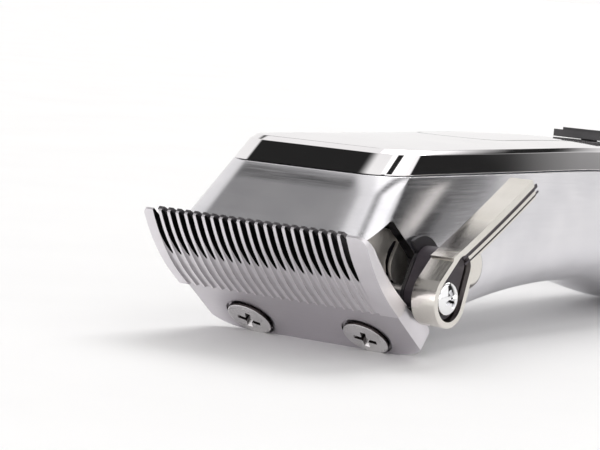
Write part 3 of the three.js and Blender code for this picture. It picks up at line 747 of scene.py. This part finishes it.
def lever_metal_painted_shade(*recipe):
    """Plated metal with shade painted into its colour: dark on its inward side and underside, and
    greyed on its upward faces near the head.
    """
    material = metal(*recipe)
    inward = PaintedShade(material)
    # painted shade on the inward faces that turn towards the housing
    inward.apply(inward.ramp(inward.facing["X"], -0.6, -0.9), (0.03, 0.026, 0.026))
    heel = PaintedShade(material)
    behind = heel.between(heel.place["Y"], blade_centre.y, 4.5, 5.5)
    # painted shade on the underside behind the head
    heel.apply(heel.both(heel.ramp(heel.facing["Z"], -0.06, -0.4), behind), (0.10, 0.085, 0.08))
    root = PaintedShade(material)
    upward = root.ramp(root.facing["Z"], 0.45, 0.8)
    near = root.both(root.between(root.place["Y"], blade_centre.y, 10, 4.5),
                     root.between(root.place["Y"], blade_centre.y, -0.2, 2))
    # painted shade that greys the upward faces near the head
    root.apply(root.both(upward, near), (0.20, 0.19, 0.185))
    return material


def blade_metal_painted_shade(*recipe):
    """Ground metal with shade painted into its colour: darker on the base's outer face, on the slopes
    of the flutes and on the flanks of the gaps.
    """
    material = metal(*recipe)
    # painted shade on the base's outer face below the step
    base = PaintedShade(material)
    towards_tips = Vector((0, blade_out.z, -blade_out.y))
    below_step = base.between(base.along(base.source["Object"], towards_tips),
                              blade_centre.dot(towards_tips), step_foot + 0.1, step_foot - 0.05)
    outward = base.ramp(base.along(base.source["Normal"], blade_out), 0.5, 0.8)
    base.apply(base.both(below_step, outward), (0.61, 0.585, 0.615))
    # painted shade on the slopes of the flutes and on the flanks of the gaps
    for slopes, colour in (((0.2, 0.6), (0.52, 0.50, 0.52)), ((0.88, 0.97), (0.035, 0.032, 0.034))):
        groove_shade = PaintedShade(material)
        flank = groove_shade.ramp(groove_shade.size_of(groove_shade.facing["X"]), *slopes)
        inside = groove_shade.between(groove_shade.size_of(groove_shade.place["X"]), 0, end_tooth_start, end_tooth_start - 0.4)
        groove_shade.apply(groove_shade.both(flank, inside), colour)
    return material


def screw_metal_painted_shade(*recipe):
    """Screw metal with shade painted into its colour wherever it turns away from the outer side of
    the head.
    """
    material = metal(*recipe)
    recess = PaintedShade(material)
    outward = recess.along(recess.source["Normal"], blade_out)
    # painted shade in the cross recess and on the head's side
    recess.apply(recess.ramp(outward, 0.6, 0.35), (0.06, 0.05, 0.05))
    return material


def housing_metal_painted_shade(*recipe):
    """Brushed metal with painted shade: the rear face of the side openings behind the blade is
    darkened to near black.
    """
    material = metal(*recipe)
    notch = PaintedShade(material)
    rear_face = notch.ramp(notch.facing["Y"], -0.5, -0.6)
    behind_front = notch.between(notch.place["Y"], blade_centre.y, -7.6, -7.4)
    below = notch.between(notch.place["Z"], blade_centre.z, 20.5, 20.3)
    # painted shade inside the side openings
    notch.apply(notch.both(rear_face, notch.both(behind_front, below)), (0.03, 0.027, 0.03))
    return material


def plastic(name, dark, light, rough, grain_mm=0.25, bump_mm=0.012):
    """Moulded plastic with a fine grain."""
    finish = Finish(name, Metallic=0.0, Specular_IOR_Level=0.5)
    finish.colour(finish.noise(4), dark, light)
    grain = finish.noise(grain_mm, detail=5.0)
    finish.roughness(grain, *rough)
    finish.bump(grain, bump_mm, 0.8)
    return finish.material


materials = {
    "polished_lid": metal("polished_lid", (0.87, 0.855, 0.865), (0.92, 0.905, 0.91),
                          (0.03, 0.06), 6, (1, 3, 1), 0.0006),
    "brushed_housing": housing_metal_painted_shade("brushed_housing", (0.70, 0.695, 0.725), (0.80, 0.79, 0.815),
                                     (0.19, 0.27), 0.16, (60, 60, 1), 0.0007, 0.2),
    "blade_steel": blade_metal_painted_shade("blade_steel", (0.74, 0.715, 0.745), (0.82, 0.795, 0.825),
                              (0.34, 0.46), 0.12, (30, 1, 1), 0.003, 0.2),
    "cutter_steel": metal("cutter_steel", (0.10, 0.095, 0.1), (0.2, 0.19, 0.2),
                          (0.28, 0.45), 0.15, (20, 1, 1), 0.003),
    "screw_steel": screw_metal_painted_shade("screw_steel", (0.70, 0.685, 0.69), (0.82, 0.805, 0.81),
                                  (0.24, 0.36), 0.2, (1, 1, 1), 0.003),
    "spring_steel": metal("spring_steel", (0.78, 0.75, 0.71), (0.88, 0.85, 0.8),
                          (0.38, 0.50), 0.5, (1, 8, 8), 0.002),
    "lever_nickel": lever_metal_painted_shade("lever_nickel", (0.70, 0.67, 0.62), (0.82, 0.79, 0.745),
                               (0.14, 0.24), 0.4, (1, 12, 12), 0.002),
    "bright_screw": metal("bright_screw", (0.8, 0.8, 0.81), (0.9, 0.9, 0.91),
                          (0.05, 0.1), 0.6, (1, 1, 1), 0.001),
    "motor_steel": metal("motor_steel", (0.32, 0.31, 0.32), (0.45, 0.44, 0.45),
                         (0.28, 0.4), 0.3, (1, 20, 1), 0.003),
    "bearing_brass": metal("bearing_brass", (0.55, 0.4, 0.18), (0.7, 0.54, 0.28),
                           (0.25, 0.38), 0.3, (1, 6, 1), 0.002),
    "rotor_copper": metal("rotor_copper", (0.45, 0.22, 0.12), (0.65, 0.36, 0.2),
                          (0.3, 0.45), 0.25, (1, 25, 1), 0.02),
    "black_plastic": plastic("black_plastic", (0.012, 0.011, 0.013), (0.03, 0.027, 0.031),
                             (0.32, 0.48)),
    "lever_plastic": plastic("lever_plastic", (0.033, 0.026, 0.033), (0.051, 0.041, 0.051),
                             (0.38, 0.5)),
    "white_plastic": plastic("white_plastic", (0.74, 0.74, 0.71), (0.84, 0.84, 0.81), (0.4, 0.55)),
    "light_pipe": plastic("light_pipe", (0.78, 0.8, 0.8), (0.88, 0.9, 0.9), (0.15, 0.25), 0.6, 0.004),
    "cell_wrap": plastic("cell_wrap", (0.06, 0.18, 0.4), (0.1, 0.26, 0.52), (0.25, 0.4), 1.5, 0.01),
    "circuit_board": plastic("circuit_board", (0.02, 0.16, 0.06), (0.05, 0.28, 0.11), (0.4, 0.6)),
}


# ---------- placing the pieces ----------
node_slot = {row["node"]: row["material_slot"] for row in frame["record"]["subparts"]}


def smooth(obj, angle=32):
    mesh = obj.data
    mesh.shade_smooth()
    mesh.set_sharp_from_angle(angle=math.radians(angle))
    modifier = obj.modifiers.new("normals", "WEIGHTED_NORMAL")
    modifier.keep_sharp = True
    modifier.mode = "FACE_AREA_WITH_ANGLE"
    apply_modifiers(obj)


def take_place(obj, node, name, matrix=None, weighted=True):
    """obj stands for a CAD node: it rides on the same body and wears the same slot's finish."""
    if matrix is not None:
        moved(obj, matrix)
    if weighted:
        smooth(obj)
    else:
        obj.data.shade_smooth()
        obj.data.set_sharp_from_angle(angle=math.radians(32))
    obj.name = name
    obj.data.materials.clear()
    obj.data.materials.append(materials[node_slot[node]])
    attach(obj, nodes[node]["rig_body"])
    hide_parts(node)


take_place(lid_shell(), "lid", "lid_shell", DESIGN, weighted=False)
take_place(housing_shell(), "lower_housing", "housing_shell", DESIGN, weighted=False)
take_place(rear_cap_shell(), "rear_cap", "rear_cap_shell", DESIGN, weighted=False)
take_place(toothed_blade(), "fixed_blade", "toothed_blade", BLADE, weighted=False)
take_place(pan_screw(-1), "blade_screw_left", "pan_screw_left", BLADE)
take_place(pan_screw(1), "blade_screw_right", "pan_screw_right", BLADE)
take_place(dome_screw(), "lever_screw", "dome_screw", DESIGN)

take_place(grooved_arm(), "lever_arm", "grooved_arm")
take_place(insert_and_shade_strips(), "lever_insert", "insert_and_shade_strips")

edge_rounding = {
    "chassis": 0.12, "tension_spring_right": 0.1, "tension_spring_left": 0.1, "side_leaf": 0.15,
    "lever_boss": 0.2, "charge_socket": 0.15, "charge_light": 0.15, "charge_pin": 0.1,
    "housing_screw_front": 0.12, "housing_screw_rear": 0.12, "switch_knob": 0.18,
    "lever_hub": 0.2, "lever_shaft": 0.1,
    "cutter_blade": 0.05, "cutter_yoke": 0.15, "cutter_carriage": 0.12,
}
for node, rounding in edge_rounding.items():
    take_place(softened(node, rounding), node, node + "_soft")

for node, obj in nodes.items():
    obj.data.materials.clear()
    obj.data.materials.append(materials[node_slot[node]])


# ---------- stage: floor, camera and light ----------
def floor():
    reach = 30.0
    size = [(-reach, -reach), (reach, -reach), (reach, reach), (-reach, reach)]
    plane = new_object("floor", [(x, y, 0) for x, y in size], [(0, 1, 2, 3)])
    finish = Finish("floor_paint", Roughness=0.6)
    finish.colour(finish.noise(40), (0.88, 0.88, 0.88), (0.9, 0.9, 0.9))
    plane.data.materials.append(finish.material)


def camera():
    azimuth, elevation, roll = 36.268, 5.386, 4.057
    data = bpy.data.cameras.new("camera")
    data.lens = 156
    data.sensor_width = 36
    data.clip_start = 0.01
    obj = bpy.data.objects.new("camera", data)
    turn = (Matrix.Rotation(math.radians(azimuth), 4, "Z")
            @ Matrix.Rotation(math.radians(90 - elevation), 4, "X")
            @ Matrix.Rotation(math.radians(roll), 4, "Z"))
    place = Vector((0.250207, -0.345195, 0.056834)) + blade_centre
    obj.matrix_world = Matrix.Translation(place) @ turn
    bpy.context.scene.collection.objects.link(obj)
    bpy.context.scene.camera = obj


class Sky:
    """World of soft white panels on a dark room, by direction."""

    def __init__(self):
        world = bpy.data.worlds.new("studio")
        world.use_nodes = True
        bpy.context.scene.world = world
        self.tree = world.node_tree
        self.background = self.tree.nodes["Background"]
        self.direction = self.tree.nodes.new("ShaderNodeTexCoord").outputs["Generated"]

    def math(self, operation, a, b=0.0):
        node = self.tree.nodes.new("ShaderNodeMath")
        node.operation = operation
        for socket, value in zip(node.inputs, (a, b)):
            if isinstance(value, (int, float)):
                socket.default_value = value
            else:
                self.tree.links.new(value, socket)
        return node.outputs[0]

    def product(self, first, *others):
        for other in others:
            first = self.math("MULTIPLY", first, other)
        return first

    def along(self, *axis):
        node = self.tree.nodes.new("ShaderNodeVectorMath")
        node.operation = "DOT_PRODUCT"
        node.inputs[1].default_value = Vector(axis).normalized()
        self.tree.links.new(self.direction, node.inputs[0])
        return node.outputs["Value"]

    def ramp(self, value, start, end):
        node = self.tree.nodes.new("ShaderNodeMapRange")
        node.interpolation_type = "SMOOTHSTEP"
        node.inputs["From Min"].default_value = start
        node.inputs["From Max"].default_value = end
        self.tree.links.new(value, node.inputs["Value"])
        return node.outputs["Result"]


def studio_light():
    """Soft panels overhead, behind, in front and on the lever's side; the camera sees white."""
    sky = Sky()
    height = sky.along(0, 0, 1)
    rightward = sky.along(1, 0, 0)
    backward = sky.along(0, 1, 0)
    diagonal = sky.along(1, 1, 0)
    seam = sky.ramp(sky.math("ABSOLUTE", sky.math("SUBTRACT", rightward, 0.33)), 0.07, 0.1)
    overhead = sky.product(sky.ramp(height, 0.52, 0.6), seam)
    back_top = sky.product(overhead, sky.ramp(diagonal, -0.36, -0.22))
    main_top = sky.product(overhead, sky.ramp(diagonal, -0.16, 0.1))
    rear_top = sky.product(sky.ramp(backward, 0.3, 0.45), sky.ramp(height, 0.52, 0.6),
                           sky.ramp(rightward, -0.5, -0.35), sky.ramp(rightward, 0.25, 0.1))
    lever_side = sky.product(sky.ramp(rightward, 0.5, 0.68), sky.ramp(backward, 0.62, 0.52),
                             sky.ramp(height, -0.05, 0.05))
    left_end = sky.product(sky.ramp(rightward, -0.66, -0.7), sky.ramp(height, 0.74, 0.66))
    backdrop = sky.product(sky.ramp(sky.along(-0.7, 0.71, 0), 0.2, 0.5), sky.ramp(height, 0.5, 0.43))
    front_top = sky.product(sky.ramp(backward, -0.02, -0.1), sky.ramp(height, 0.3, 0.5))
    front_low = sky.product(sky.ramp(sky.along(0.1, -0.99, 0), 0.3, 0.7), sky.ramp(height, 0.45, 0.3))
    panels = ((back_top, 0.95), (main_top, 1.45), (rear_top, 4.5), (lever_side, 1.1),
              (left_end, 0.93), (backdrop, 0.93), (front_top, 0.36), (front_low, 2.2))
    level = 0.02
    for panel, strength in panels:
        level = sky.math("MAXIMUM", level, sky.product(panel, strength))
    seen = sky.tree.nodes.new("ShaderNodeLightPath").outputs["Is Camera Ray"]
    level = sky.math("MAXIMUM", level, seen)
    sky.background.inputs["Color"].default_value = (1.0, 0.99, 0.985, 1)
    sky.tree.links.new(level, sky.background.inputs["Strength"])


floor()
camera()
studio_light()
bpy.context.scene.view_settings.view_transform = "Standard"
